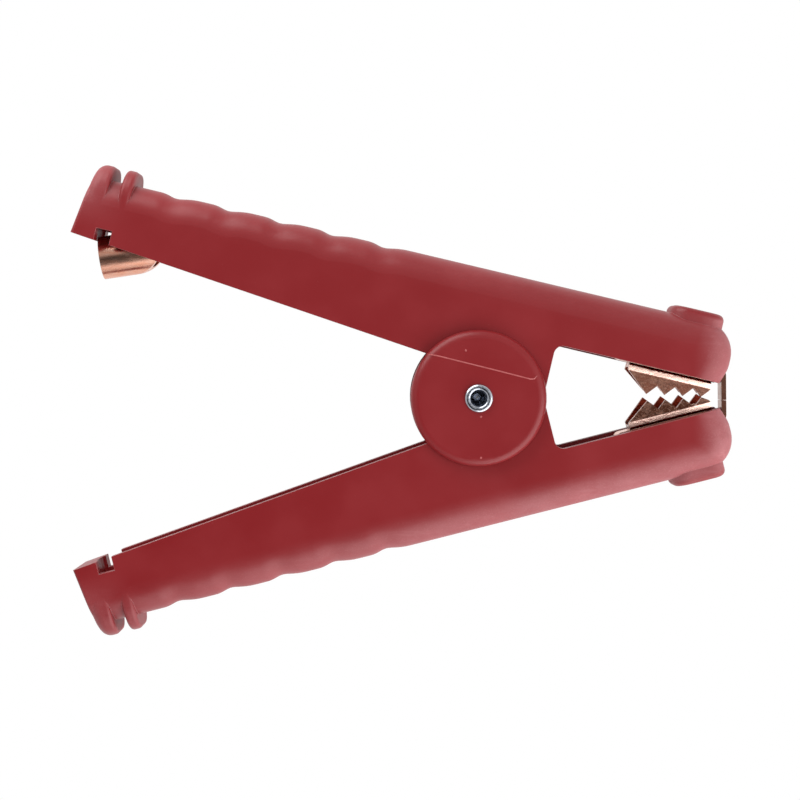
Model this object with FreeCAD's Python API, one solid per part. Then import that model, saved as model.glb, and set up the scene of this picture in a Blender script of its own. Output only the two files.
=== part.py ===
import FreeCAD, Part
import math
import os

from FreeCAD import Rotation, Vector

# Insulated crocodile clip for a heavy test lead, lying on its side with its jaws closed.
# Units are millimetres. The model's origin is on the pivot axis, at the outer face of
# the rivet's factory head, on which the clip lies. +X points to the jaws, +Y to the arm
# that carries the cable, and +Z along the pivot axis to the rolled end of the rivet.
#
# Both arms use the same moulded cover, one turned over. Each arm is drawn in its own
# frame: X runs along the arm's straight back to the nose, Y from the pivot to the back,
# and Z = 0 is the middle of the cover's width.

# Arms
half_angle = 13.75            # between the clip's long axis and each arm's back, degrees
cover_width = 20.0
wall = 3.0
back_rounding = 6.5           # between each side wall and the back
rear_reach = 104.6            # from the pivot to the rear inner corner
rear_lean = 8.0               # of the rear face, degrees
rear_edge_rounding = 0.8
nose_reach = 57.7
jaw_edge_height = 16.85       # from the pivot to the side walls' edges beside the jaw
nose_tip_setback = 1.15       # from the nose's front back to its tip
nose_tip_bevel = (0.3, 0.4)   # along the arm and across it
chin_rise = 3.35              # from the nose's tip to its front
chin_rounding = 7.5
nose_front_flat = 2.5
nose_rounding = 7.8           # seen from the side, from the nose's front into the back
channel_rounding = 3.2        # round the channel's roof
channel_corner_rounding = 3.6 # of its upright corners

# Inner edges of the handles
handle_edge_height = 6.15     # above the pivot, measured square to the back
handle_edge_taper = 5.52      # degrees
web_reach = 15.2              # front edge of the web beside the pivot
web_rounding = 2.2

# Grip scallops on the back
scallop_count = 5
scallop_setback = 22.2        # from the rear inner corner to the last scallop's lowest point
scallop_pitch = 12.95
scallop_depth = 0.85
scallop_rear_run = 2.9
scallop_front_run = 4.3
scallop_rear_rounding = 8.0
scallop_floor_rounding = 5.0
scallop_front_rounding = 18.0

# Collars and notches that hold a cable tie
collar_height = 3.4           # above the back
collar_rounding = 6.6         # between the collar's top and its sides
collar_side_reach = 4.0       # down each side wall from the back's rounding
collar_rim_rounding = 0.9
end_rim_rounding = 2.4
end_collar_thickness = 6.4
tie_groove_width = 2.9
front_collar_thickness = 2.8
notch_width = 3.9
notch_depth = 3.2

# Pad on the nose
pad_front_setback = 3.7       # from the nose's front
pad_length = 13.2
pad_height = 2.1
pad_width = 14.4
pad_rear_corner_rounding = 4.6
pad_front_corner_rounding = 3.4
pad_edge_rounding = 1.5
pad_sink = 2.6                # of the pad's foot into the back

# Pivot
disc_radius = 16.35
disc_thickness = 2.6
disc_rim_rounding = 2.0
disc_gap = 0.15               # between a disc and the ear that it covers
ear_radius = 9.0
ear_gap = 0.3                 # between an ear and the wall cut away round it
boss_radius = 4.6
boss_gap = 0.15               # between each boss and the middle of the clip

# Rivet
rivet_radius = 2.5
rivet_fit = 0.05
rivet_head_radius = 4.6
rivet_head_height = 1.6
rivet_head_rounding = 0.9
rivet_tube_wall = 0.62
rivet_hole_depth = 9.0
rivet_hole_taper = 1.1        # depth of the hole's tapered floor
rivet_hole_floor_radius = 0.4
rivet_roll_width = 0.92       # of the rolled end beyond the tube
rivet_end_gap = 0.1

# Copper sheet
sheet = 1.2
strap_width = 7.4
strap_bend = 0.6              # inner radius of every bend
lip_inset = 0.24              # of the lips' front face from the nose's front
lip_width = 5.6
lip_meeting_height = -1.2     # of the lips' ends beside the clip's long axis
lip_meeting_gap = 0.1
pocket_gap = 0.12             # round the lip where it passes through the nose
strap_ramp_gap = 2.8          # between the jaw's rear end and the ramp to the channel's roof
strap_ramp_run = 8.0
nose_ramp_setback = 1.7       # from the jaw's front end back to the ramp inside the nose
nose_ramp_run = 2.4
nose_ramp_rise = 2.4
lower_strap_reach = 44.0      # from the pivot back to the end of the strap without a barrel

# Toothed jaws
jaw_base_drop = 0.0           # of the jaw's base below the cover's side walls
jaw_width = 8.7
jaw_base_rounding = 2.1
jaw_front_setback = 3.1       # from the nose's front
jaw_length = 20.5
jaw_rear_depth = 1.8          # of the side walls at the rear end
jaw_front_depth = 2.5         # of the side walls at the front end
jaw_front_bevel = (0.3, 0.5)
tooth_count = 4
last_tooth_setback = 1.83     # from the jaw's front end
tooth_pitch = 4.34
tooth_depth = 2.15
first_tooth_gap = 1.2         # from the first tooth's tip to the clip's long axis
last_tooth_gap = 0.42
taller_row = 0.7              # by which one row of teeth stands taller than the other

# Jaw screws and their seats
screw_setback = 8.4           # from the jaw's front end
screw_radius = 1.25
screw_fit = 0.05              # in the boss
screw_pass_gap = 0.15         # in the sheet
screw_head_radius = 1.85
screw_head_height = 1.3
screw_head_chamfer = 0.5
screw_length = 9.0
screw_tip_radius = 0.3
screw_hole_spare = 1.0        # depth of the hole beyond the screw's tip
screw_slot_width = 0.7
screw_slot_depth = 0.6
screw_slot_reach = 1.15
screw_boss_radius = 3.8
rib_thickness = 1.6
rib_offsets = (-9.8, 4.7)     # from the screw, along the arm

# Crimp barrel
barrel_radius = 5.25
barrel_lean = 21.8            # of the barrel to the arm's back, degrees
barrel_length = 8.0
barrel_inset = 7.4            # of its rear opening from the cover's rear inner corner
barrel_height = 12.0          # of the middle of its rear opening
barrel_seam = 0.3
barrel_throat_radius = 7.5
throat_length = 8.0
flare_length = 5.0

# Torsion spring
spring_wire = 2.4
spring_boss_gap = 0.4         # between the boss and the coil
spring_coil_gap = 0.1         # between one turn and the next
spring_full_turns = 3
spring_points_a_turn = 8      # in half of the coil, for the curve along the wire
spring_leg_shares = (1, 0.7, 0.4, 0.15)  # places along each leg for the same curve
spring_wire_sides = 10        # flats that stand for the round wire
spring_leg_reach = 34.0
spring_leg_offset = 2.0       # of each leg's end from the middle of the width
spring_seat_gap = 0.02

# Building
join = 0.1                    # by which pieces of one moulding overlap before they are fused
clear = 1.0                   # by which a cutter passes the faces that it opens
near = 0.01                   # for telling which face an edge lies in

# Worked out from the sizes above
nose_tip = nose_reach - nose_tip_setback
nose_wall = nose_reach - wall
chin_height = jaw_edge_height + nose_tip_bevel[1] + chin_rise
back_height = chin_height + nose_front_flat + nose_rounding
half_width = cover_width / 2
channel_half = half_width - wall
channel_roof = back_height - wall
collar_foot = back_height - back_rounding - collar_side_reach
tie_groove_rear = rear_reach - end_collar_thickness
tie_groove_front = tie_groove_rear - tie_groove_width
disc_face = half_width + disc_gap + disc_thickness
middle_height = disc_face + rivet_head_height
rivet_hole_radius = rivet_radius - rivet_tube_wall
jaw_end = nose_reach - jaw_front_setback
jaw_start = jaw_end - jaw_length
first_tooth = jaw_end - last_tooth_setback - (tooth_count - 1) * tooth_pitch
jaw_base_outer = jaw_edge_height - jaw_base_drop
jaw_half = jaw_width / 2
screw_reach = jaw_end - screw_setback
strap_half = strap_width / 2
strap_middle = jaw_base_outer + sheet / 2
strap_outer = jaw_base_outer + sheet
nose_strap_middle = strap_middle + nose_ramp_rise
roof_strap_middle = channel_roof - sheet / 2
nose_ramp_foot = jaw_end - nose_ramp_setback
tube_length = barrel_length + throat_length
barrel_inner = barrel_radius - sheet
spring_radius = boss_radius + spring_boss_gap + spring_wire / 2
spring_pitch = spring_wire + spring_coil_gap


def rounded_outline(corners):
    """A closed face in the XY plane from (x, y, corner radius) entries."""
    points = [Vector(x, y, 0) for x, y, radius in corners]
    count = len(points)
    starts = []
    ends = []
    middles = []
    for index, (x, y, radius) in enumerate(corners):
        here = points[index]
        if not radius:
            starts.append(here)
            ends.append(here)
            middles.append(None)
            continue
        before = (points[index - 1] - here).normalize()
        after = (points[(index + 1) % count] - here).normalize()
        half_turn = before.getAngle(after) / 2
        run = radius / math.tan(half_turn)
        inward = (before + after).normalize()
        starts.append(here + before * run)
        ends.append(here + after * run)
        middles.append(here + inward * (radius / math.sin(half_turn) - radius))
    edges = []
    for index in range(count):
        if middles[index]:
            arc = Part.Arc(starts[index], middles[index], ends[index])
            edges.append(arc.toShape())
        following = starts[(index + 1) % count]
        if (following - ends[index]).Length > 1e-6:
            edges.append(Part.LineSegment(ends[index], following).toShape())
    return Part.Face(Part.Wire(edges))


def slab(corners, low, high):
    """An outline seen from the side, between two levels across the width."""
    face = rounded_outline(corners)
    face.translate(Vector(0, 0, low))
    return face.extrude(Vector(0, 0, high - low))


def lengthways(corners, start, end):
    """An outline of (z, y, corner radius) entries, carried along the arm."""
    solid = slab(corners, 0, end - start)
    solid.rotate(Vector(0, 0, 0), Vector(0, 1, 0), -90)
    solid.translate(Vector(end, 0, 0))
    return solid


def upright(corners, foot, top):
    """An outline of (x, z, corner radius) entries, between two heights."""
    solid = slab(corners, 0, top - foot)
    solid.rotate(Vector(0, 0, 0), Vector(1, 0, 0), -90)
    solid.translate(Vector(0, foot, 0))
    return solid


def disc(radius, low, high):
    return Part.makeCylinder(radius, high - low, Vector(0, 0, low))


def post(radius, x, foot, top):
    """A round post that stands square to the back."""
    return Part.makeCylinder(radius, top - foot, Vector(x, foot, 0), Vector(0, 1, 0))


def box(x_low, x_high, y_low, y_high, half_depth):
    return Part.makeBox(
        x_high - x_low, y_high - y_low, 2 * half_depth, Vector(x_low, y_low, -half_depth))


def middle_of(edge):
    return edge.valueAt((edge.FirstParameter + edge.LastParameter) / 2)


def lies_on(edge, face_x):
    """Whether an edge lies in the face that face_x places along the arm at a height."""
    points = [middle_of(edge)] + [vertex.Point for vertex in edge.Vertexes]
    return all(abs(point.x - face_x(point.y)) < near for point in points)


def handle_edge(x):
    """Height of the handle's inner edge at a place along the arm."""
    return handle_edge_height - math.tan(math.radians(handle_edge_taper)) * x


def rear_face(y):
    """Place along the arm of the rear face at a height."""
    rise = y - handle_edge(-rear_reach)
    return -rear_reach + math.tan(math.radians(rear_lean)) * rise


def long_axis(x, gap):
    """Height in the arm's frame of a point that lies a gap away from the clip's long axis."""
    angle = math.radians(half_angle)
    return (gap + x * math.sin(angle)) / math.cos(angle)


def from_clip(x, y):
    """Turns a point given along and across the clip's long axis into the arm's frame."""
    angle = math.radians(half_angle)
    return x * math.cos(angle) - y * math.sin(angle), x * math.sin(angle) + y * math.cos(angle)


def scallops():
    """Corners of the shallow grip hollows, from the front one to the rear one."""
    corners = []
    for index in reversed(range(scallop_count)):
        lowest = scallop_setback - rear_reach + index * scallop_pitch
        corners.append((lowest + scallop_front_run, back_height, scallop_front_rounding))
        corners.append((lowest, back_height - scallop_depth, scallop_floor_rounding))
        corners.append((lowest - scallop_rear_run, back_height, scallop_rear_rounding))
    return corners


def wall_outline():
    """The cover's side wall, without its ear, collars and pad."""
    bevel_run, bevel_rise = nose_tip_bevel
    return [
        (-rear_reach, handle_edge(-rear_reach), 0),
        (web_reach, handle_edge(web_reach), 0),
        (web_reach, jaw_edge_height, web_rounding),
        (nose_tip - bevel_run, jaw_edge_height, 0),
        (nose_tip, jaw_edge_height + bevel_rise, 0),
        (nose_reach, chin_height, chin_rounding),
        (nose_reach, back_height, nose_rounding),
    ] + scallops() + [(rear_face(back_height), back_height, 0)]


def outer_body():
    """The cover as a solid block, rounded along its back, its nose and its rear face."""
    body = slab(wall_outline(), -half_width, half_width)
    along_back = []
    for edge in body.Edges:
        if edge.BoundBox.ZLength > near:
            continue
        middle = middle_of(edge)
        on_back = middle.y > back_height - scallop_depth - near
        on_nose = middle.x > nose_tip or (
            middle.x > nose_reach - nose_rounding and middle.y > chin_height)
        if on_back or on_nose:
            along_back.append(edge)
    body = body.makeFillet(back_rounding, along_back)
    rear_edges = [
        edge for edge in body.Edges
        if lies_on(edge, rear_face) and middle_of(edge).y > handle_edge(-rear_reach) + near]
    return body.makeFillet(rear_edge_rounding, rear_edges)


def collar(rear, front, rear_rounding, front_rounding, leaning):
    """A rim across the rounded back, whose rear face can lean like the cover's."""
    top = back_height + collar_height
    across = [
        (-half_width, collar_foot, 0),
        (half_width, collar_foot, 0),
        (half_width, top, collar_rounding),
        (-half_width, top, collar_rounding),
    ]
    rim = lengthways(across, rear, front)
    if leaning:
        low = collar_foot - clear
        high = top + clear
        behind = [
            (rear - clear, low, 0), (rear_face(low), low, 0),
            (rear_face(high), high, 0), (rear - clear, high, 0)]
        rim = rim.cut(slab(behind, -half_width - clear, half_width + clear))
    rear_place = rear_face if leaning else lambda y: rear
    for rounding, face_x in ((rear_rounding, rear_place), (front_rounding, lambda y: front)):
        edges = [
            edge for edge in rim.Edges
            if lies_on(edge, face_x) and middle_of(edge).y > collar_foot + near]
        rim = rim.makeFillet(rounding, edges)
    return rim


def collars():
    """The end collar and the collar in front of the tie groove, across the whole width."""
    end = collar(
        -rear_reach - clear, -tie_groove_rear, end_rim_rounding, collar_rim_rounding, True)
    front = collar(
        -tie_groove_front, -tie_groove_front + front_collar_thickness,
        collar_rim_rounding, collar_rim_rounding, False)
    return [end, front]


def pad():
    half = pad_width / 2
    end = nose_reach - pad_front_setback
    start = end - pad_length
    plan = [
        (start, -half, pad_rear_corner_rounding),
        (end, -half, pad_front_corner_rounding),
        (end, half, pad_front_corner_rounding),
        (start, half, pad_rear_corner_rounding),
    ]
    top = back_height + pad_height
    block = upright(plan, back_height - pad_sink, top)
    top_edges = [edge for edge in block.Edges if edge.BoundBox.YMin > top - near]
    return block.makeFillet(pad_edge_rounding, top_edges)


def channel():
    """The hollow between the side walls, open at the inner edges."""
    rear = rear_face(back_height) + wall
    plan = [
        (rear, -channel_half, channel_corner_rounding),
        (nose_wall, -channel_half, channel_corner_rounding),
        (nose_wall, channel_half, channel_corner_rounding),
        (rear, channel_half, channel_corner_rounding),
    ]
    hollow = upright(plan, -disc_radius - clear, channel_roof)
    roof_edges = [edge for edge in hollow.Edges if edge.BoundBox.YMin > channel_roof - near]
    return hollow.makeFillet(channel_rounding, roof_edges)


def screw_boss_and_ribs():
    """Seats for the strap above the toothed jaw, and the boss that its screw bites into."""
    top = channel_roof + join
    pieces = [post(screw_boss_radius, screw_reach, strap_outer, top)]
    for offset in rib_offsets + (0,):
        place = screw_reach + offset
        pieces.append(box(
            place - rib_thickness / 2, place + rib_thickness / 2,
            strap_outer, top, channel_half + join))
    return pieces


def screw_hole():
    depth = screw_length - 2 * sheet + screw_hole_spare
    return post(screw_radius + screw_fit, screw_reach, strap_outer - clear, strap_outer + depth)


def lip_pocket():
    """The slot through the nose for the lip and the raised stretch of strap behind it."""
    roof = nose_strap_middle + sheet / 2 + pocket_gap
    return box(nose_wall - clear, nose_reach + clear, 0, roof, lip_width / 2 + pocket_gap)


def tie_notch():
    """A notch in each side wall's inner edge, under the tie groove."""
    middle = -(tie_groove_rear + tie_groove_front) / 2
    return box(
        middle - notch_width / 2, middle + notch_width / 2,
        0, handle_edge(middle) + notch_depth, half_width + clear)


def cover():
    body = outer_body().fuse(collars() + [pad()])
    body = body.cut(channel())
    body = body.fuse(screw_boss_and_ribs())
    body = body.cut([screw_hole(), lip_pocket(), tie_notch()])
    return pivot_parts(body)


def pivot_parts(body):
    """The disc on one side wall, and the ear and spring boss on the other."""
    ear_hole = disc(ear_radius + ear_gap, channel_half - join, disc_face)
    cap = disc(disc_radius, half_width + disc_gap, disc_face)
    rim = [edge for edge in cap.Edges if edge.BoundBox.ZMin > disc_face - near]
    cap = cap.makeFillet(disc_rim_rounding, rim)
    spacer = slab(wall_outline(), half_width - join, half_width + disc_gap + join)
    spacer = spacer.common(disc(disc_radius - join, 0, disc_face))
    body = body.fuse(spacer).cut(ear_hole)
    ear = disc(ear_radius, -half_width, -channel_half)
    boss = disc(boss_radius, -channel_half - join, -boss_gap)
    body = body.fuse([cap, ear, boss])
    body = body.cut(disc(rivet_radius + rivet_fit, -disc_face, disc_face + clear))
    return body.removeSplitter()


def sheet_outline(route, thickness):
    """Outline of a bent strip from the (x, y) points of its middle line."""
    middle = [Vector(x, y, 0) for x, y in route]
    bend = strap_bend + thickness / 2
    sides = {1: [], -1: []}
    for index, point in enumerate(middle):
        ahead = middle[min(index + 1, len(middle) - 1)] - middle[min(index, len(middle) - 2)]
        behind = middle[max(index, 1)] - middle[max(index - 1, 0)]
        ahead.normalize()
        behind.normalize()
        normal_sum = Vector(-ahead.y - behind.y, ahead.x + behind.x, 0).normalize()
        mitre = thickness / 2 / math.cos(ahead.getAngle(behind) / 2)
        turn = behind.x * ahead.y - behind.y * ahead.x
        at_end = index in (0, len(middle) - 1)
        for side in (1, -1):
            corner = point + normal_sum * (side * mitre)
            inside = turn * side > 0
            radius = 0 if at_end else bend + (-1 if inside else 1) * thickness / 2
            sides[side].append((corner.x, corner.y, radius))
    return sides[1] + sides[-1][::-1]


def front_route(meeting_height):
    """Middle line of the strap: lip, step down inside the nose, jaw, and up to the roof."""
    angle = math.radians(half_angle)
    lip_front = nose_reach * math.cos(angle) + chin_height * math.sin(angle) - lip_inset
    lip_middle = lip_front - sheet / 2
    corner_x = (lip_middle - nose_strap_middle * math.sin(angle)) / math.cos(angle)
    ramp_foot = jaw_start - strap_ramp_gap
    return [
        from_clip(lip_middle, meeting_height + lip_meeting_gap / 2),
        (corner_x, nose_strap_middle),
        (nose_ramp_foot + nose_ramp_run, nose_strap_middle),
        (nose_ramp_foot, strap_middle),
        (ramp_foot, strap_middle),
        (ramp_foot - strap_ramp_run, roof_strap_middle),
    ]


def strap(route):
    """A bent strip, narrower in the nose, with a hole for the jaw's screw."""
    solid = slab(sheet_outline(route, sheet), -strap_half, strap_half)
    far_end = route[0][0] + clear
    beside = slab([
        (nose_ramp_foot, 0, 0), (far_end, 0, 0),
        (far_end, back_height, 0), (nose_ramp_foot, back_height, 0)], lip_width / 2, half_width)
    solid = solid.cut([beside, beside.mirror(Vector(0, 0, 0), Vector(0, 0, 1))])
    return solid.cut(post(
        screw_radius + screw_pass_gap, screw_reach, jaw_base_outer - clear, strap_outer + clear))


def barrel_point(along, up):
    """A point given along the crimp barrel's axis from its rear end, and square to it."""
    angle = math.radians(barrel_lean)
    x = barrel_inset - rear_reach + along * math.cos(angle) - up * math.sin(angle)
    y = barrel_height + along * math.sin(angle) + up * math.cos(angle)
    return Vector(x, y, 0)


def barrel_arc():
    """Half of the angle, and the height, of the trough that carries on into the strap."""
    half_arc = math.asin(strap_half / barrel_radius)
    return half_arc, barrel_radius * math.cos(half_arc)


def crimp_barrel():
    """Rolled barrel with its seam towards the mouth, opening out into a trough."""
    axis = barrel_point(1, 0) - barrel_point(0, 0)
    tube = Part.makeCylinder(barrel_radius, tube_length, barrel_point(0, 0), axis)
    bore_length = tube_length + 2 * clear
    tube = tube.cut(Part.makeCylinder(barrel_inner, bore_length, barrel_point(-clear, 0), axis))
    trough_height = barrel_arc()[1]
    below = -barrel_radius - clear
    throat = [
        barrel_point(barrel_length, below),
        barrel_point(barrel_length, -barrel_radius),
        barrel_point(barrel_length + barrel_throat_radius, barrel_throat_radius - barrel_radius),
        barrel_point(tube_length, trough_height),
        barrel_point(tube_length + clear, trough_height),
        barrel_point(tube_length + clear, below),
    ]
    half_turn = math.sqrt(0.5)
    arc_middle = barrel_point(
        barrel_length + barrel_throat_radius * half_turn,
        -barrel_radius + barrel_throat_radius * (1 - half_turn))
    edges = [
        Part.LineSegment(throat[0], throat[1]).toShape(),
        Part.Arc(throat[1], arc_middle, throat[2]).toShape(),
    ]
    for first, second in zip(throat[2:], throat[3:] + throat[:1]):
        edges.append(Part.LineSegment(first, second).toShape())
    cutter = Part.Face(Part.Wire(edges))
    cutter.translate(Vector(0, 0, -half_width))
    tube = tube.cut(cutter.extrude(Vector(0, 0, cover_width)))
    seam_corners = [
        barrel_point(-clear, below), barrel_point(tube_length, below),
        barrel_point(tube_length, 0), barrel_point(-clear, 0)]
    seam = [(point.x, point.y, 0) for point in seam_corners]
    return tube.cut(slab(seam, -barrel_seam / 2, barrel_seam / 2))


def flare():
    """Joins the trough's arc to the flat strap."""
    half_arc = barrel_arc()[0]

    def on_arc(radius, angle):
        point = barrel_point(tube_length, radius * math.cos(angle))
        return Vector(point.x, point.y, radius * math.sin(angle))

    def on_strap(up, z):
        point = barrel_point(tube_length + flare_length, up)
        return Vector(point.x, point.y, z)

    def arc(radius, start):
        return Part.Arc(on_arc(radius, start), on_arc(radius, 0), on_arc(radius, -start)).toShape()

    def edge_line(outer, inner, angle):
        return Part.LineSegment(on_arc(outer, angle), on_arc(inner, angle)).toShape()

    arc_wire = Part.Wire([
        arc(barrel_radius, -half_arc), edge_line(barrel_radius, barrel_inner, half_arc),
        arc(barrel_inner, half_arc), edge_line(barrel_inner, barrel_radius, -half_arc)])
    corners = [
        on_strap(barrel_radius, -strap_half), on_strap(barrel_radius, strap_half),
        on_strap(barrel_inner, strap_half), on_strap(barrel_inner, -strap_half)]
    flat_wire = Part.makePolygon(corners + corners[:1])
    return Part.makeLoft([arc_wire, flat_wire], True, True)


def upper_conductor():
    """Lip, strap and crimp barrel, stamped from one strip."""
    strap_end = barrel_point(tube_length + flare_length, barrel_radius - sheet / 2)
    slope = math.tan(math.radians(barrel_lean))
    bend_x = strap_end.x + (roof_strap_middle - strap_end.y) / slope
    rear_route = [(bend_x, roof_strap_middle), (strap_end.x, strap_end.y)]
    route = front_route(lip_meeting_height) + rear_route
    return strap(route).fuse([flare(), crimp_barrel()]).removeSplitter()


def lower_conductor():
    """The shorter strip of the other arm, held under the spring's leg."""
    return strap(front_route(-lip_meeting_height) + [(-lower_strap_reach, roof_strap_middle)])


def jaw_outline(taller):
    """Side view of one side wall of a toothed jaw, its teeth taller by a distance."""
    bevel_run, bevel_rise = jaw_front_bevel
    front_edge = jaw_base_outer - jaw_front_depth
    corners = [
        (jaw_end, jaw_base_outer, 0),
        (jaw_start, jaw_base_outer, 0),
        (jaw_start, jaw_base_outer - jaw_rear_depth, 0),
    ]

    def gap_at(place):
        share = place / (tooth_count - 1)
        return first_tooth_gap + (last_tooth_gap - first_tooth_gap) * share - taller

    for index in range(tooth_count):
        x = first_tooth + index * tooth_pitch
        corners.append((x, long_axis(x, gap_at(index)), 0))
        if index < tooth_count - 1:
            x += tooth_pitch / 2
            corners.append((x, long_axis(x, gap_at(index + 0.5)) + tooth_depth, 0))
    corners.append((jaw_end - bevel_run, front_edge, 0))
    corners.append((jaw_end, front_edge + bevel_rise, 0))
    return corners


def bent_section(half, foot, top, rounding):
    """End view of a channel's outer or inner surface."""
    return [(-half, foot, 0), (half, foot, 0), (half, top, rounding), (-half, top, rounding)]


def toothed_jaw():
    """Pressed channel with a row of teeth along each side wall."""
    foot = long_axis(first_tooth, first_tooth_gap - taller_row) - clear
    outer = bent_section(jaw_half, foot, jaw_base_outer, jaw_base_rounding)
    inner = bent_section(
        jaw_half - sheet, foot - clear, jaw_base_outer - sheet, jaw_base_rounding - sheet)
    pressed = lengthways(outer, jaw_start, jaw_end)
    pressed = pressed.cut(lengthways(inner, jaw_start - clear, jaw_end + clear))
    side_walls = slab(jaw_outline(taller_row), 0, half_width).fuse(
        slab(jaw_outline(0), -half_width, 0))
    jaw = pressed.common(side_walls)
    hole = post(
        screw_radius + screw_pass_gap, screw_reach,
        jaw_base_outer - sheet - clear, jaw_base_outer + clear)
    return jaw.cut(hole).removeSplitter()


def jaw_screw():
    """Pan-head tapping screw through the toothed jaw and the strap into the cover's boss."""
    seat = jaw_base_outer - sheet
    top = seat - screw_head_height
    point_foot = seat + screw_length - screw_radius
    shank = post(screw_radius, screw_reach, seat, point_foot)
    point = Part.makeCone(
        screw_radius, screw_tip_radius, screw_radius, Vector(screw_reach, point_foot, 0),
        Vector(0, 1, 0))
    head = post(screw_head_radius, screw_reach, top, seat)
    rim = [edge for edge in head.Edges if edge.BoundBox.YMax < top + near]
    head = head.makeChamfer(screw_head_chamfer, rim)
    half_slot = screw_slot_width / 2
    floor = top + screw_slot_depth
    cross = [
        box(screw_reach - along, screw_reach + along, top - clear, floor, across)
        for along, across in ((screw_slot_reach, half_slot), (half_slot, screw_slot_reach))]
    return head.fuse([shank, point]).cut(cross).removeSplitter()


def pivot_rivet():
    """Semi-tubular rivet: factory head below, hollow end rolled over the disc above."""
    head_bottom = -middle_height
    roll_foot = disc_face + rivet_end_gap
    roll_radius = rivet_radius + rivet_roll_width
    roll_middle = (rivet_hole_radius + roll_radius) / 2
    roll_half = (roll_radius - rivet_hole_radius) / 2
    hole_floor = roll_foot - rivet_hole_depth
    rounding = rivet_head_rounding
    turn = rounding * (1 - math.sqrt(0.5))

    def at(radius, z):
        return Vector(radius, 0, z)

    def lines(*points):
        return [
            Part.LineSegment(first, second).toShape()
            for first, second in zip(points, points[1:])]

    head_edge = Part.Arc(
        at(rivet_head_radius - rounding, head_bottom),
        at(rivet_head_radius - turn, head_bottom + turn),
        at(rivet_head_radius, head_bottom + rounding)).toShape()
    roll = Part.Arc(
        at(roll_radius, roll_foot), at(roll_middle, roll_foot + roll_half),
        at(rivet_hole_radius, roll_foot)).toShape()
    edges = lines(at(0, head_bottom), at(rivet_head_radius - rounding, head_bottom))
    edges.append(head_edge)
    edges += lines(
        at(rivet_head_radius, head_bottom + rounding), at(rivet_head_radius, -disc_face),
        at(rivet_radius, -disc_face), at(rivet_radius, roll_foot), at(roll_radius, roll_foot))
    edges.append(roll)
    edges += lines(
        at(rivet_hole_radius, roll_foot), at(rivet_hole_radius, hole_floor),
        at(rivet_hole_floor_radius, hole_floor - rivet_hole_taper),
        at(0, hole_floor - rivet_hole_taper), at(0, head_bottom))
    return Part.Face(Part.Wire(edges)).revolve(Vector(0, 0, 0), Vector(0, 0, 1), 360)


def spring_leg_end():
    """End of the cable arm's spring leg, in that arm's frame, resting on its strap."""
    height = roof_strap_middle - sheet / 2 - spring_seat_gap - spring_wire / 2
    return Vector(-spring_leg_reach, height, spring_leg_offset)


def torsion_spring():
    """Coil round the two bosses, with a leg into each handle that pushes it outwards.

    Drawn in the model's frame with the pivot at the origin.
    """
    turn_back = Rotation(Vector(0, 0, 1), -half_angle)
    leg_end = turn_back.multVec(spring_leg_end())
    distance = math.hypot(leg_end.x, leg_end.y)
    end_angle = math.degrees(math.atan2(leg_end.y, leg_end.x))
    leave_angle = end_angle - math.degrees(math.acos(spring_radius / distance))
    turns = spring_full_turns + 2 * leave_angle / 360
    half_height = turns * spring_pitch / 2

    def on_coil(share):
        angle = math.radians(leave_angle - share * turns * 180)
        return Vector(
            spring_radius * math.cos(angle), spring_radius * math.sin(angle),
            half_height * (1 - share))

    steps = int(turns * spring_points_a_turn)
    leave = on_coil(0)
    leg = [leave + (leg_end - leave) * share for share in spring_leg_shares]
    upper_half = leg + [on_coil(step / steps) for step in range(steps + 1)]
    lower_half = [Vector(point.x, -point.y, -point.z) for point in upper_half]
    path = Part.BSplineCurve()
    path.interpolate(upper_half + lower_half[-2::-1])
    round_section = Part.Circle(
        path.StartPoint, path.tangent(path.FirstParameter)[0], spring_wire / 2)
    corners = [
        round_section.value(2 * math.pi * side / spring_wire_sides)
        for side in range(spring_wire_sides)]
    section = Part.makePolygon(corners + corners[:1])
    return Part.Wire(path.toShape()).makePipeShell([section], True, False)


def place(shape, lower=False, in_arm_frame=True):
    """Moves a shape from its arm's frame into the model's frame."""
    placed = shape.copy()
    if in_arm_frame:
        placed.rotate(Vector(0, 0, 0), Vector(0, 0, 1), -half_angle)
    if lower:
        placed.rotate(Vector(0, 0, 0), Vector(1, 0, 0), 180)
    placed.translate(Vector(0, 0, middle_height))
    return placed


def main():
    os.makedirs("parts", exist_ok=True)
    moulding = cover()
    jaw = toothed_jaw()
    screw = jaw_screw()
    nodes = {
        "upper_cover": place(moulding),
        "lower_cover": place(moulding, lower=True),
        "upper_jaw": place(jaw),
        "lower_jaw": place(jaw, lower=True),
        "upper_conductor": place(upper_conductor()),
        "lower_conductor": place(lower_conductor(), lower=True),
        "upper_jaw_screw": place(screw),
        "lower_jaw_screw": place(screw, lower=True),
        "pivot_rivet": place(pivot_rivet(), in_arm_frame=False),
        "torsion_spring": place(torsion_spring(), in_arm_frame=False),
    }
    for name, shape in nodes.items():
        shape.exportStep(f"parts/{name}.step")
        solids = len(shape.Solids)
        print(f"{name}: valid {shape.isValid()}, solids {solids}, volume {shape.Volume:.1f} mm3")


main()
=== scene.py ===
import math

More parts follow.
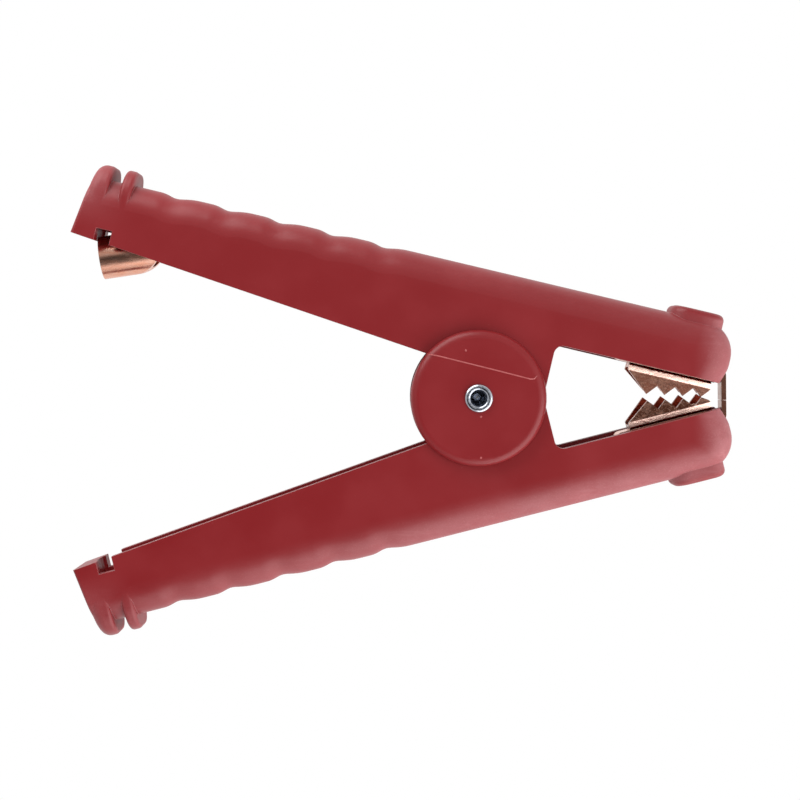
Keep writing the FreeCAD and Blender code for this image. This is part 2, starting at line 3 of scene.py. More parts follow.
import bpy
import numpy as np
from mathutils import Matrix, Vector


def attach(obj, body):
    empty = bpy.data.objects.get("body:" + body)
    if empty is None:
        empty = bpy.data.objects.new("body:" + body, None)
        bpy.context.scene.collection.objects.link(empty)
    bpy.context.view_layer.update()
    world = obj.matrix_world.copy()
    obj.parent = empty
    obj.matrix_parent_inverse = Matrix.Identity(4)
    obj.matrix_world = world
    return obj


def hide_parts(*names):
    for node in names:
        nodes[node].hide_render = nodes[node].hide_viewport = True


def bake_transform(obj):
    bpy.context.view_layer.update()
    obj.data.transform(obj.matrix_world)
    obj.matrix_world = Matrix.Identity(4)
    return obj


# Looks of the crocodile clip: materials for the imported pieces, the spring as a smooth wire,
# the mould's flash line and small marks, the floor, the light and the camera.
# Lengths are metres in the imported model's frame, and mm() turns millimetres into them.

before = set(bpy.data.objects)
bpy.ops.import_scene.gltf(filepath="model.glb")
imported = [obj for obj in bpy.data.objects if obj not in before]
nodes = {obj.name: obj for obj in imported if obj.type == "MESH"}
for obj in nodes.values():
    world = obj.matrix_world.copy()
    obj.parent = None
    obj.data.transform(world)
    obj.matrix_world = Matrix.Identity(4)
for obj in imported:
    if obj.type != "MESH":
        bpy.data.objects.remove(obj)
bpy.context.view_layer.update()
print("scene: packed model loaded")


def mm(value):
    return value / 1000


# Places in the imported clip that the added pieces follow

pivotHeight = mm(14.35)  # of the middle of both arms above the floor
discTop = pivotHeight + mm(12.75)  # outer face of the near disc
armAngle = math.radians(13.75)  # of each arm from the x axis


# Meshes: points and faces into a new piece, and the faces between closed rings of points
# that follow each other, each from one step of a ring to the next step and on to the next ring


def newMesh(name, points, faces, smooth=True):
    mesh = bpy.data.meshes.new(name)
    mesh.from_pydata(np.asarray(points, float).tolist(), [], faces)
    mesh.polygons.foreach_set("use_smooth", [smooth] * len(mesh.polygons))
    mesh.update()
    piece = bpy.data.objects.new(name, mesh)
    bpy.context.scene.collection.objects.link(piece)
    return piece


def ringFaces(rings, sides):
    ring = np.arange(rings - 1)[:, None] * sides
    step = np.arange(sides)
    after = (step + 1) % sides
    corners = [ring + step, ring + after, ring + sides + after, ring + sides + step]
    return np.stack(corners, 2).reshape(-1, 4)


# Node helpers for the materials. In the dictionaries below a noise is (scale, detail,
# roughness, stretch), and a range is (from, to) or (from, to, result at from, result at to).


def newMaterial(name):
    material = bpy.data.materials.new(name)
    material.use_nodes = True
    tree = material.node_tree
    tree.nodes.clear()
    return material, tree


def addNode(tree, kind, **values):
    node = tree.nodes.new(kind)
    for key, value in values.items():
        setattr(node, key, value)
    return node


def link(tree, source, target):
    tree.links.new(source, target)


def noise(tree, coords, scale, detail, roughness=0.5, stretch=(1, 1, 1)):
    mapping = addNode(tree, "ShaderNodeMapping")
    mapping.inputs["Scale"].default_value = stretch
    link(tree, coords, mapping.inputs["Vector"])
    node = addNode(tree, "ShaderNodeTexNoise")
    node.inputs["Scale"].default_value = scale
    node.inputs["Detail"].default_value = detail
    node.inputs["Roughness"].default_value = roughness
    link(tree, mapping.outputs["Vector"], node.inputs["Vector"])
    return node.outputs["Fac"]


def ramp(tree, value, low, high, lowOut=0.0, highOut=1.0):
    node = addNode(tree, "ShaderNodeMapRange", interpolation_type="SMOOTHSTEP")
    node.inputs["From Min"].default_value = low
    node.inputs["From Max"].default_value = high
    node.inputs["To Min"].default_value = lowOut
    node.inputs["To Max"].default_value = highOut
    link(tree, value, node.inputs["Value"])
    return node.outputs["Result"]


def maths(tree, operation, first, second=0.0):
    node = addNode(tree, "ShaderNodeMath", operation=operation)
    for index, item in enumerate((first, second)):
        if isinstance(item, (int, float)):
            node.inputs[index].default_value = item
        else:
            link(tree, item, node.inputs[index])
    return node.outputs["Value"]


def plus(tree, first, second):
    return maths(tree, "ADD", first, second)


def minus(tree, first, second):
    return maths(tree, "SUBTRACT", first, second)


def times(tree, first, second):
    return maths(tree, "MULTIPLY", first, second)


def larger(tree, first, second):
    return maths(tree, "MAXIMUM", first, second)


def mixColour(tree, factor, first, second):
    node = addNode(tree, "ShaderNodeMix", data_type="RGBA")
    link(tree, factor, node.inputs[0])
    for index, item in ((6, first), (7, second)):  # the node's two colour sockets
        if isinstance(item, tuple):
            node.inputs[index].default_value = (*item, 1.0)
        else:
            link(tree, item, node.inputs[index])
    return node.outputs[2]


def bump(tree, height, strength, distance, under):
    node = addNode(tree, "ShaderNodeBump")
    node.inputs["Strength"].default_value = strength
    node.inputs["Distance"].default_value = distance
    link(tree, height, node.inputs["Height"])
    link(tree, under, node.inputs["Normal"])
    return node.outputs["Normal"]


def surface(tree, **inputs):
    shader = addNode(tree, "ShaderNodeBsdfPrincipled")
    for key, value in inputs.items():
        socket = shader.inputs[key.replace("_", " ")]
        if isinstance(value, (int, float)):
            socket.default_value = value
        elif isinstance(value, tuple):
            socket.default_value = (*value, 1.0) if len(socket.default_value) == 4 else value
        else:
            link(tree, value, socket)
    output = addNode(tree, "ShaderNodeOutputMaterial")
    link(tree, shader.outputs["BSDF"], output.inputs["Surface"])


def split(tree, coords):
    node = addNode(tree, "ShaderNodeSeparateXYZ")
    link(tree, coords, node.inputs["Vector"])
    return node.outputs["X"], node.outputs["Y"], node.outputs["Z"]


def dot(tree, first, second):
    node = addNode(tree, "ShaderNodeVectorMath", operation="DOT_PRODUCT")
    for index, item in enumerate((first, second)):
        if isinstance(item, tuple):
            node.inputs[index].default_value = item
        else:
            link(tree, item, node.inputs[index])
    return node.outputs["Value"]


# Softened edges: the rounded normal, and a mask that is 1 on the edge itself,
# where the cosine between the rounded normal and the face's own is small

edgeLook = {"samples": 6, "mask": (0.97, 0.80)}


def softEdges(tree, radius):
    node = addNode(tree, "ShaderNodeBevel", samples=edgeLook["samples"])
    node.inputs["Radius"].default_value = radius
    face = addNode(tree, "ShaderNodeNewGeometry").outputs["Normal"]
    mask = ramp(tree, dot(tree, node.outputs["Normal"], face), *edgeLook["mask"])
    return node.outputs["Normal"], mask


# Wear and painted sheen of the covers: pale haze along the backs, at the noses and at the rear ends, less on
# the pads, broken up by patches, specks and scuffs. It is partly dust and wear and partly painted sheen,
# heaviest on the lower arm and towards the noses. Depth is counted inwards from the back's line, which
# stands backHeight - backSlope * x from the x axis on either side.

wearAndSheenLook = {
    "backHeight": mm(31.8),
    "backSlope": 0.2447,  # the tangent of the arm's angle
    "upperArm": (mm(-2), mm(2)),  # y, from the lower arm to the upper one
    "backDepth": (mm(9), mm(1)),
    "backAlong": (mm(-110), mm(55), 0.25, 0.8),  # x, more towards the nose
    "backUpper": (0.0, 1.0, 1.0, 0.22),  # share left on the upper arm
    "noseAlong": (mm(51), mm(60)),
    "noseUpper": (0.0, 1.0, 1.0, 0.70),
    "padDepth": (mm(-0.4), mm(-1.4)),  # below zero, as the pad stands out of the back
    "padAlong": (mm(20), mm(30)),
    "padCleaner": 0.75,
    "rearAlong": (mm(-82), mm(-104)),
    "rearDepth": (mm(14), mm(0)),
    "patches": (150.0, 5.0, 0.65),
    "patchRange": (0.36, 0.66, 0.72, 1.0),
    "specks": (2600.0, 3.0, 0.7),
    "speckRange": (0.52, 0.66),
    "scuffs": (240.0, 6.0, 0.75, (0.3, 2.2, 1.0)),
    "scuffRange": (0.52, 0.70),
    "markAmount": 0.35,
    "least": 0.01,
}


def wearAndSheenPlaces(tree, coords):
    look = wearAndSheenLook
    x, y = split(tree, coords)[:2]
    onUpper = ramp(tree, y, *look["upperArm"])
    backLine = minus(tree, look["backHeight"], times(tree, x, look["backSlope"]))
    depth = minus(tree, backLine, maths(tree, "ABSOLUTE", y))
    # the band along the back, heavier towards the nose and on the lower arm, is partly wear and partly
    # painted sheen
    back = times(tree, ramp(tree, depth, *look["backDepth"]), ramp(tree, x, *look["backAlong"]))
    back = times(tree, back, ramp(tree, onUpper, *look["backUpper"]))
    nose = times(tree, ramp(tree, x, *look["noseAlong"]), ramp(tree, onUpper, *look["noseUpper"]))
    rear = times(tree, ramp(tree, x, *look["rearAlong"]), ramp(tree, depth, *look["rearDepth"]))
    pad = times(tree, ramp(tree, depth, *look["padDepth"]), ramp(tree, x, *look["padAlong"]))
    wearAndSheen = larger(tree, back, larger(tree, nose, rear))
    wearAndSheen = times(tree, wearAndSheen, minus(tree, 1.0, times(tree, pad, look["padCleaner"])))
    patches = ramp(tree, noise(tree, coords, *look["patches"]), *look["patchRange"])
    specks = ramp(tree, noise(tree, coords, *look["specks"]), *look["speckRange"])
    scuffs = ramp(tree, noise(tree, coords, *look["scuffs"]), *look["scuffRange"])
    marks = times(tree, larger(tree, specks, scuffs), look["markAmount"])
    return plus(tree, times(tree, wearAndSheen, plus(tree, patches, marks)), look["least"])


# Red plastic: satin on faces that lie flat, matte on upright ones such as the trimmed edges,
# hazy where it is worn and where a painted sheen lies, its edges softly rounded with a painted pale
# highlight

coverLook = {
    "red": (0.248, 0.0110, 0.0140),
    "paleRed": (0.268, 0.0135, 0.0170),
    "hazeAndSheen": (0.68, 0.31, 0.33),
    "hazeAndSheenAmount": 0.42,
    "hazeRoughness": 0.6,
    "edge": (0.80, 0.42, 0.42),
    "edgeAmount": 0.55,
    "edgeRadius": mm(0.22),
    "sheen": (0.05, 0.30, 0.08, 0.5),  # over the size of the normal's z
    "sheenTint": (1.0, 0.86, 0.87),
    "refraction": 1.49,
    "clouds": (70.0, 3.0),
    "cloudColour": (0.35, 0.7),
    "cloudRoughness": (0.3, 0.7, 0.30, 0.39),
    "speckle": (1400.0, 3.0, 0.6),
    "speckleHaze": (0.66, 0.84, 0.0, 0.10),
    "grain": (5200.0, 2.0),
    "grainSpeckle": 0.6,
    "grainStrength": 0.35,
    "grainHeight": mm(0.008),
    "bleed": 0.04,
    "bleedDepth": mm(0.6),
    "bleedColour": (1.0, 0.25, 0.2),
}


def coverMaterial():
    look = coverLook
    material, tree = newMaterial("redCover")
    place = addNode(tree, "ShaderNodeTexCoord")
    coords = place.outputs["Object"]
    facing = maths(tree, "ABSOLUTE", split(tree, place.outputs["Normal"])[2])
    clouds = noise(tree, coords, *look["clouds"])
    speckle = noise(tree, coords, *look["speckle"])
    grain = noise(tree, coords, *look["grain"])
    # pale haze: partly dust and wear, partly painted sheen on the lower arm's back and on the noses
    hazeAndSheenMask = times(tree, wearAndSheenPlaces(tree, coords), look["hazeAndSheenAmount"])
    edgeNormal, onEdge = softEdges(tree, look["edgeRadius"])
    colour = mixColour(tree, ramp(tree, clouds, *look["cloudColour"]), look["red"], look["paleRed"])
    colour = mixColour(tree, ramp(tree, speckle, *look["speckleHaze"]), colour, look["hazeAndSheen"])
    colour = mixColour(tree, hazeAndSheenMask, colour, look["hazeAndSheen"])
    # painted pale highlight along the softly rounded edges
    colour = mixColour(tree, times(tree, onEdge, look["edgeAmount"]), colour, look["edge"])
    rough = ramp(tree, clouds, *look["cloudRoughness"])
    rough = plus(tree, rough, times(tree, hazeAndSheenMask, look["hazeRoughness"]))
    grain = plus(tree, grain, times(tree, speckle, look["grainSpeckle"]))
    normal = bump(tree, grain, look["grainStrength"], look["grainHeight"], edgeNormal)
    surface(tree, Base_Color=colour, Roughness=rough, Normal=normal, IOR=look["refraction"],
            Specular_IOR_Level=ramp(tree, facing, *look["sheen"]), Specular_Tint=look["sheenTint"],
            Subsurface_Weight=look["bleed"], Subsurface_Scale=look["bleedDepth"],
            Subsurface_Radius=look["bleedColour"])
    return material


# Copper: mottled with tarnish, rubbed bright on its edges, dark on the lips at the mouth

copperLook = {
    "copper": (0.87, 0.41, 0.28),
    "bright": (0.95, 0.56, 0.43),
    "brown": (0.32, 0.095, 0.055),
    "darkBrown": (0.13, 0.040, 0.020),
    "inside": (0.42, 0.060, 0.028),
    "rubbedAndHighlight": (0.98, 0.72, 0.61),
    "shaded": (0.30, 0.045, 0.018),
    "edgeAmount": 0.7,
    "edgeRadius": mm(0.10),
    "stains": (420.0, 6.0, 0.65),
    "stainShare": 0.6,
    "stainRoughness": (0.35, 0.7, 0.20, 0.36),
    "streaks": (1500.0, 4.0, 0.6),
    "streakShare": 0.4,
    "streakColour": (0.3, 0.7),
    "tarnish": (0.40, 0.54),  # over stains and streaks together
    "leastTarnish": 0.45,  # as a share of the full tarnish
    "lips": (mm(57.4), mm(57.8)),  # x
    "lipAmount": 0.8,
    "fine": (4200.0, 2.0),
    "fineShare": 0.4,
    "dimpleStrength": 0.5,
}
upperJawLook = {
    "tarnish": 0.82,
    "stain": "brown",
    "stretch": (0.6, 1.0, 1.0),
    "dimple": mm(0.090),
}
lowerJawLook = {
    "tarnish": 0.97,
    "stain": "darkBrown",
    "stretch": (0.6, 1.0, 1.0),
    "dimple": mm(0.120),
}
stripLook = {
    "tarnish": 0.22,
    "stain": "brown",
    "stretch": (0.25, 1.0, 1.0),
    "dimple": mm(0.006),
}

# Bends of the jaws: painted glints everywhere, a painted highlight band along the bend, painted shade under
# it, and a painted dark red reflection and shade on the inside of the far row. Facing is the z of the
# piece's own normal, and a band is the product of a range on its upright side and one on its flat side.

bendLook = {
    "glints": (3400.0, 3.0, 0.7),
    "glintRange": (0.55, 0.64, 0.0, 0.55),
    "bendUpright": (0.62, 0.74),
    "bendFlat": (0.998, 0.985),
    "underFlat": (0.72, 0.62),
    "underUpright": (0.06, 0.14),
    "farHeight": (mm(14.6), mm(14.1)),
    "farFlat": (0.90, 0.96),
    "amount": 0.9,
    "lean": (0.34, 0.0, 0.94),  # of the shading normal on the bend, towards the mouth
}


def leaned(tree, normal, amount, towards):
    mix = addNode(tree, "ShaderNodeMix", data_type="VECTOR")
    link(tree, amount, mix.inputs[0])
    link(tree, normal, mix.inputs[4])  # 4 and 5 are the node's two vector sockets
    mix.inputs[5].default_value = towards
    unit = addNode(tree, "ShaderNodeVectorMath", operation="NORMALIZE")
    link(tree, mix.outputs[1], unit.inputs[0])
    return unit.outputs["Vector"]


def jawBends(tree, place, colour):
    look = bendLook
    coords = place.outputs["Object"]
    height = split(tree, coords)[2]
    facing = split(tree, place.outputs["Normal"])[2]
    glints = ramp(tree, noise(tree, coords, *look["glints"]), *look["glintRange"])
    bendHighlight = times(tree, ramp(tree, facing, *look["bendUpright"]), ramp(tree, facing, *look["bendFlat"]))
    under = times(tree, ramp(tree, facing, *look["underFlat"]), ramp(tree, facing, *look["underUpright"]))
    farRowShade = times(tree, ramp(tree, height, *look["farHeight"]), ramp(tree, facing, *look["farFlat"]))
    colour = mixColour(tree, glints, colour, copperLook["bright"])
    # painted dark red reflection of the cover and painted shade on the inside of the far row
    colour = mixColour(tree, farRowShade, colour, copperLook["inside"])
    # painted highlight: a pale band along the bend, standing in for the bright side of the light mirrored
    # there
    colour = mixColour(tree, times(tree, bendHighlight, look["amount"]), colour, copperLook["rubbedAndHighlight"])
    colour = mixColour(tree, times(tree, under, look["amount"]), colour, copperLook["shaded"])
    return colour, bendHighlight


def copperMaterial(name, piece, bent=False):
    look = copperLook
    material, tree = newMaterial(name)
    place = addNode(tree, "ShaderNodeTexCoord")
    coords = place.outputs["Object"]
    stains = noise(tree, coords, *look["stains"], piece["stretch"])
    streaks = noise(tree, coords, *look["streaks"], piece["stretch"])
    fine = noise(tree, coords, *look["fine"])
    mottle = plus(tree, times(tree, stains, look["stainShare"]), times(tree, streaks, look["streakShare"]))
    tarnish = ramp(tree, mottle, *look["tarnish"], piece["tarnish"] * look["leastTarnish"], piece["tarnish"])
    onLips = ramp(tree, split(tree, coords)[0], *look["lips"])
    edgeNormal, onEdge = softEdges(tree, look["edgeRadius"])
    colour = mixColour(tree, ramp(tree, streaks, *look["streakColour"]), look["copper"], look["bright"])
    colour = mixColour(tree, tarnish, colour, look[piece["stain"]])
    colour = mixColour(tree, times(tree, onLips, look["lipAmount"]), colour, look["darkBrown"])
    if bent:
        colour, bendHighlight = jawBends(tree, place, colour)
        edgeNormal = leaned(tree, edgeNormal, bendHighlight, bendLook["lean"])
    colour = mixColour(tree, times(tree, onEdge, look["edgeAmount"]), colour, look["rubbedAndHighlight"])
    rough = ramp(tree, stains, *look["stainRoughness"])
    dimples = plus(tree, streaks, times(tree, fine, look["fineShare"]))
    normal = bump(tree, dimples, look["dimpleStrength"], piece["dimple"], edgeNormal)
    surface(tree, Base_Color=colour, Roughness=rough, Metallic=1.0, Normal=normal)
    return material


# Plated steel and spring wire, with dirt, and a dark ring where the rivet's end is rolled

steelLook = {
    "plate": (0.74, 0.77, 0.84),
    "wire": (0.34, 0.34, 0.36),
    "dark": (0.20, 0.22, 0.26),
    "plateRoughness": 0.20,
    "rolledRoughness": 0.16,
    "wireRoughness": 0.32,
    "smoother": 0.05,
    "rougher": 0.08,
    "clouds": (620.0, 5.0, 0.6),
    "dirt": (0.35, 0.75, 0.0, 0.5),
    "fine": (3600.0, 3.0),
    "fineRange": (0.3, 0.7),
    "marks": (2600.0, 3.0, 0.7),
    "markRange": (0.38, 0.62, 0.35, 1.0),
    "ringInner": (mm(2.15), mm(2.30)),  # distances from the rivet's axis
    "ringOuter": (mm(3.07), mm(2.95)),
    "bumpStrength": 0.3,
    "bumpHeight": mm(0.006),
    "edgeRadius": mm(0.08),
}


def rolledRing(tree, coords):
    look = steelLook
    x, y = split(tree, coords)[:2]
    squares = plus(tree, maths(tree, "POWER", x, 2.0), maths(tree, "POWER", y, 2.0))
    radius = maths(tree, "POWER", squares, 0.5)
    band = times(tree, ramp(tree, radius, *look["ringInner"]), ramp(tree, radius, *look["ringOuter"]))
    marks = ramp(tree, noise(tree, coords, *look["marks"]), *look["markRange"])
    return times(tree, band, marks)


def steelMaterial(name, colour, roughness, rolled=False):
    look = steelLook
    material, tree = newMaterial(name)
    coords = addNode(tree, "ShaderNodeTexCoord").outputs["Object"]
    clouds = noise(tree, coords, *look["clouds"])
    fine = noise(tree, coords, *look["fine"])
    dirt = ramp(tree, clouds, *look["dirt"])
    if rolled:
        dirt = larger(tree, dirt, rolledRing(tree, coords))
    tint = mixColour(tree, dirt, colour, look["dark"])
    rough = ramp(tree, fine, *look["fineRange"], roughness - look["smoother"], roughness + look["rougher"])
    edgeNormal = softEdges(tree, look["edgeRadius"])[0]
    normal = bump(tree, plus(tree, fine, clouds), look["bumpStrength"], look["bumpHeight"], edgeNormal)
    surface(tree, Base_Color=tint, Roughness=rough, Metallic=1.0, Normal=normal)
    return material


red = coverMaterial()
upperJawCopper = copperMaterial("upperJawCopper", upperJawLook, bent=True)
lowerJawCopper = copperMaterial("lowerJawCopper", lowerJawLook, bent=True)
stripCopper = copperMaterial("stripCopper", stripLook)
zinc = steelMaterial("zincPlate", steelLook["plate"], steelLook["plateRoughness"])
rolledZinc = steelMaterial("rolledPlate", steelLook["plate"], steelLook["rolledRoughness"], rolled=True)
materialOf = {
    "upper_cover": red,
    "lower_cover": red,
    "upper_jaw": upperJawCopper,
    "lower_jaw": lowerJawCopper,
    "upper_conductor": stripCopper,
    "lower_conductor": stripCopper,
    "upper_jaw_screw": zinc,
    "lower_jaw_screw": zinc,
    "pivot_rivet": rolledZinc,
}
for name, material in materialOf.items():
    nodes[name].data.materials.clear()
    nodes[name].data.materials.append(material)
print("scene: materials assigned")


# Spring: a helix round the pivot with a straight leg into each handle. The upper half is
# worked out from its leg to the x axis behind the pivot, and turned over for the lower half.

springLook = {
    "wireRadius": mm(1.2),
    "coilRadius": mm(6.2),
    "pitch": mm(2.5),
    "halfTurns": 3,  # of the upper half, from where it first meets the x axis
    "legReach": mm(34.0),  # of the leg's end behind the pivot, along the arm
    "legHeight": mm(25.48),  # of the leg's end from the pivot, square to the arm
    "legOffset": mm(2.0),  # of the leg's end above the arm's middle
    "twistHalf": mm(0.7),  # half of the height that takes up the turn, between the two legs
    "stepsATurn": 64,
    "legSteps": 24,
    "sides": 20,
    "endRings": 4,
    "endShare": 0.02,  # radius of the smallest ring, as a share of the wire's
}


def springPath():
    look = springLook
    endX = look["legHeight"] * math.sin(armAngle) - look["legReach"] * math.cos(armAngle)
    endY = look["legHeight"] * math.cos(armAngle) + look["legReach"] * math.sin(armAngle)
    leave = math.atan2(endY, endX) - math.acos(look["coilRadius"] / math.hypot(endX, endY))
    halfTurns = look["halfTurns"] + leave / math.pi
    share = np.linspace(0, 1, int(halfTurns * look["stepsATurn"] / 2) + 1)
    angle = leave - share * halfTurns * math.pi
    height = halfTurns * look["pitch"] / 2 * (1 - share)
    coil = np.stack([look["coilRadius"] * np.cos(angle), look["coilRadius"] * np.sin(angle), height], 1)
    legEnd = np.array([endX, endY, look["legOffset"]])
    leg = legEnd + (coil[0] - legEnd) * np.linspace(0, 1, look["legSteps"], endpoint=False)[:, None]
    upper = np.concatenate([leg, coil])
    lower = upper[:-1][::-1] * (1, -1, -1)
    return np.concatenate([upper, lower]) + (0, 0, pivotHeight)


# A tube along a path: each ring is centre + radius * (cos(t) * side + sin(t) * up), square to
# the path, where side is carried along from ring to ring without a twist. Past each end the
# rings shrink with the cosine of an angle and reach out with its sine.


def tubeAlong(name, path, radius, sides, endRings, endShare):
    tangents = np.gradient(path, axis=0)
    tangents /= np.linalg.norm(tangents, axis=1)[:, None]
    endAngle = np.linspace(math.pi / 2, 0, endRings + 1)[:-1]
    reach = radius * np.sin(endAngle)[:, None]
    shrink = np.maximum(np.cos(endAngle), endShare)
    centres = np.concatenate([path[0] - tangents[0] * reach, path, path[-1] + tangents[-1] * reach[::-1]])
    widths = radius * np.concatenate([shrink, np.ones(len(path)), shrink[::-1]])
    along = np.concatenate([[tangents[0]] * endRings, tangents, [tangents[-1]] * endRings])
    side = np.cross(along[0], (0.0, 0.0, 1.0))
    carried = []
    for direction in along:
        side = side - direction * np.dot(side, direction)
        side /= np.linalg.norm(side)
        carried.append(side)
    across = np.array(carried)[:, None]
    up = np.cross(along, carried)[:, None]
    turn = np.linspace(0, 2 * math.pi, sides, endpoint=False)[:, None]
    points = centres[:, None] + widths[:, None, None] * (np.cos(turn) * across + np.sin(turn) * up)
    last = (len(centres) - 1) * sides
    faces = ringFaces(len(centres), sides).tolist()
    faces += [list(range(sides))[::-1], list(range(last, last + sides))]
    return newMesh(name, points.reshape(-1, 3), faces)


spring = tubeAlong("springWireCoil", springPath(), springLook["wireRadius"],
                   springLook["sides"], springLook["endRings"], springLook["endShare"])
spring.data.materials.append(steelMaterial("springWire", steelLook["wire"], steelLook["wireRoughness"]))
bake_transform(spring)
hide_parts("torsion_spring")
print("scene: spring made")


# Flash line: a low ridge across the near disc, where two halves of the mould met. Its section
# is half an ellipse, halfWidth * cos(t) across and height * sin(t) up, smaller at the ends.

flashLook = {
    "line": [(-12.25, 10.65), (-9.8, 10.25), (4.6, 6.55), (12.35, 4.5), (13.3, 4.55), (14.0, 5.3)],  # mm
    "halfWidth": mm(0.16),
    "height": mm(0.10),
    "sink": mm(0.02),  # into the disc's face
    "step": mm(0.4),
    "leastSteps": 2,
    "endSize": 0.25,
    "growth": 0.35,  # a step, inwards from the ends
    "sectionPoints": 7,
    "pale": (0.42, 0.060, 0.060),
    "palest": (0.60, 0.17, 0.17),
    "mottle": (900.0, 3.0),
    "roughness": 0.5,
}


def palePlastic():
    look = flashLook
    material, tree = newMaterial("paleFlash")
    coords = addNode(tree, "ShaderNodeTexCoord").outputs["Object"]
    tint = mixColour(tree, noise(tree, coords, *look["mottle"]), look["pale"], look["palest"])
    surface(tree, Base_Color=tint, Roughness=look["roughness"], IOR=coverLook["refraction"])
    return material


def ridge(name, line, z):
    look = flashLook
    stretches = []
    for first, second in zip(line[:-1], line[1:]):
        count = max(look["leastSteps"], int(np.linalg.norm(second - first) / look["step"]))
        stretches.append(first + (second - first) * np.linspace(0, 1, count, endpoint=False)[:, None])
    path = np.concatenate([*stretches, line[-1:]])
    tangents = np.gradient(path, axis=0)
    tangents /= np.linalg.norm(tangents, axis=1)[:, None]
    across = np.stack([-tangents[:, 1], tangents[:, 0]], 1)
    fromStart = np.arange(len(path))
    fromEnd = np.minimum(fromStart, fromStart[::-1])
    grow = np.minimum(1.0, look["endSize"] + fromEnd * look["growth"])[:, None]
    turn = np.linspace(0, math.pi, look["sectionPoints"])
    width = np.cos(turn) * look["halfWidth"] * grow
    points = np.empty((len(path), len(turn), 3))
    points[..., :2] = path[:, None] + across[:, None] * width[..., None]
    points[..., 2] = z + np.sin(turn) * look["height"] * grow
    sides = len(turn)
    last = (len(path) - 1) * sides
    faces = ringFaces(len(path), sides)[:, [0, 3, 2, 1]].tolist()  # the section runs the other way round
    faces += [list(range(sides)), list(range(last, last + sides))[::-1]]
    return newMesh(name, points.reshape(-1, 3), faces)


pale = palePlastic()
flash = ridge("discFlashLine", mm(np.array(flashLook["line"])), discTop - flashLook["sink"])
flash.data.materials.append(pale)
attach(flash, "upper_arm")


# Moulding nubs: low domes, with rings at radius * cos(rise) across and height * sin(rise) up

nubLook = {
    "places": [(-3.0, 11.45), (0.5, -4.4), (0.4, -14.2)],  # mm
    "radius": mm(0.26),
    "height": mm(0.12),
    "sink": mm(0.02),
    "sides": 20,
    "rings": 5,
}


def dome(name, x, y, z):
    look = nubLook
    sides = look["sides"]
    rings = look["rings"]
    rise = math.pi / 2 * np.arange(rings)[:, None] / rings
    turn = 2 * math.pi * np.arange(sides) / sides
    flat = look["radius"] * np.cos(rise)
    up = look["height"] * np.sin(rise) * np.ones(sides)
    grid = np.stack([x + flat * np.cos(turn), y + flat * np.sin(turn), z + up], 2)
    points = np.concatenate([grid.reshape(-1, 3), [(x, y, z + look["height"])]])
    last = (rings - 1) * sides
    step = np.arange(sides)
    top = np.stack([last + step, last + (step + 1) % sides, np.full(sides, rings * sides)], 1)
    faces = ringFaces(rings, sides).tolist() + top.tolist() + [list(range(sides))[::-1]]
    return newMesh(name, points, faces)


for index, (x, y) in enumerate(nubLook["places"]):
    nub = dome(f"discNub{index + 1}", mm(x), mm(y), discTop - nubLook["sink"])
    nub.data.materials.append(pale)
    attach(nub, "upper_arm")
print("scene: flash line and nubs made")


# Floor: plain white where the camera or a mirroring face sees it, pale grey for the light
# that it throws back

floorLook = {
    "size": 3.0,
    "drop": mm(0.3),  # under the clip
    "colour": (0.80, 0.80, 0.80),
    "white": (1.0, 1.0, 1.0),
    "strength": 1.0,
}


def floorMaterial():
    look = floorLook
    material, tree = newMaterial("paleFloor")
    path = addNode(tree, "ShaderNodeLightPath")
    diffuse = addNode(tree, "ShaderNodeBsdfDiffuse")
    diffuse.inputs["Color"].default_value = (*look["colour"], 1.0)
    white = addNode(tree, "ShaderNodeEmission")
    white.inputs["Color"].default_value = (*look["white"], 1.0)
    white.inputs["Strength"].default_value = look["strength"]
    mirrored = larger(tree, path.outputs["Is Glossy Ray"], path.outputs["Is Transmission Ray"])
    seenPlainly = larger(tree, path.outputs["Is Camera Ray"], mirrored)
    mix = addNode(tree, "ShaderNodeMixShader")
    link(tree, seenPlainly, mix.inputs[0])
    link(tree, diffuse.outputs["BSDF"], mix.inputs[1])
    link(tree, white.outputs["Emission"], mix.inputs[2])
    output = addNode(tree, "ShaderNodeOutputMaterial")
    link(tree, mix.outputs["Shader"], output.inputs["Surface"])
    return material


half = floorLook["size"] / 2
under = -floorLook["drop"]
corners = [(-half, -half, under), (half, -half, under), (half, half, under), (-half, half, under)]
floor = newMesh("paleFloor", corners, [(0, 1, 2, 3)], smooth=False)
floor.data.materials.append(floorMaterial())

# Light tent: dim round the camera's direction, bright all round, and brightest on one side.
# The ranges are over the cosine to the direction before them.

worldLook = {
    "dimWay": (-0.10, -0.38, 0.92),
    "tent": (0.84, 0.95, 0.70, 0.06),
    "sideWay": (0.78, -0.48, 0.40),  # past the jaws, on the lower arm's side
    "side": (0.45, 0.95, 0.0, 0.75),
}


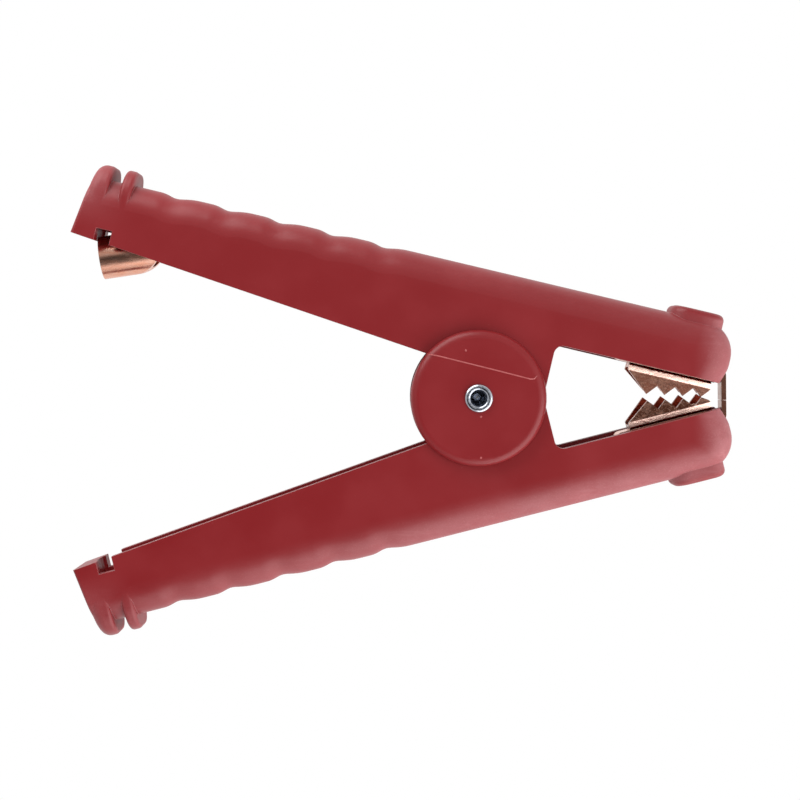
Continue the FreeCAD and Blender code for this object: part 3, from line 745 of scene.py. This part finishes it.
def makeWorld():
    look = worldLook
    world = bpy.data.worlds.new("lightTent")
    bpy.context.scene.world = world
    world.use_nodes = True
    tree = world.node_tree
    tree.nodes.clear()
    direction = addNode(tree, "ShaderNodeTexCoord").outputs["Generated"]
    tent = ramp(tree, dot(tree, direction, look["dimWay"]), *look["tent"])
    side = ramp(tree, dot(tree, direction, look["sideWay"]), *look["side"])
    background = addNode(tree, "ShaderNodeBackground")
    link(tree, plus(tree, tent, side), background.inputs["Strength"])
    output = addNode(tree, "ShaderNodeOutputWorld")
    link(tree, background.outputs["Background"], output.inputs["Surface"])


makeWorld()

lightLook = [
    # name, place, width, height, watts
    ("softLeft", (-0.20, 0.31, 0.14), 0.40, 0.30, 1.10),
    ("softRight", (0.16, -0.19, 0.12), 0.52, 0.36, 0.83),
]
for name, place, width, height, watts in lightLook:
    data = bpy.data.lights.new(name, "AREA")
    data.shape = "RECTANGLE"
    data.size = width
    data.size_y = height
    data.energy = watts
    lamp = bpy.data.objects.new(name, data)
    lamp.location = place
    lamp.rotation_euler = (-Vector(place)).to_track_quat("-Z", "Y").to_euler()  # faces the pivot
    lamp.visible_camera = False
    bpy.context.scene.collection.objects.link(lamp)
print("scene: floor and light made")


# Camera: straight above, turned a little, with the picture shifted

cameraLook = {
    "place": (-0.01872, 0.01215, 0.49435),
    "turn": math.radians(-0.45),
    "lens": 88.125,
    "sensor": 36.0,
    "shift": -0.065,
    "near": 0.01,
    "far": 10.0,
}
cameraData = bpy.data.cameras.new("photoCamera")
cameraData.lens = cameraLook["lens"]
cameraData.sensor_width = cameraLook["sensor"]
cameraData.shift_y = cameraLook["shift"]
cameraData.clip_start = cameraLook["near"]
cameraData.clip_end = cameraLook["far"]
camera = bpy.data.objects.new("photoCamera", cameraData)
camera.location = cameraLook["place"]
camera.rotation_euler = (0.0, 0.0, cameraLook["turn"])
bpy.context.scene.collection.objects.link(camera)
bpy.context.scene.camera = camera
bpy.context.scene.view_settings.view_transform = "Standard"
print("scene: camera set")

bpy.context.view_layer.update()
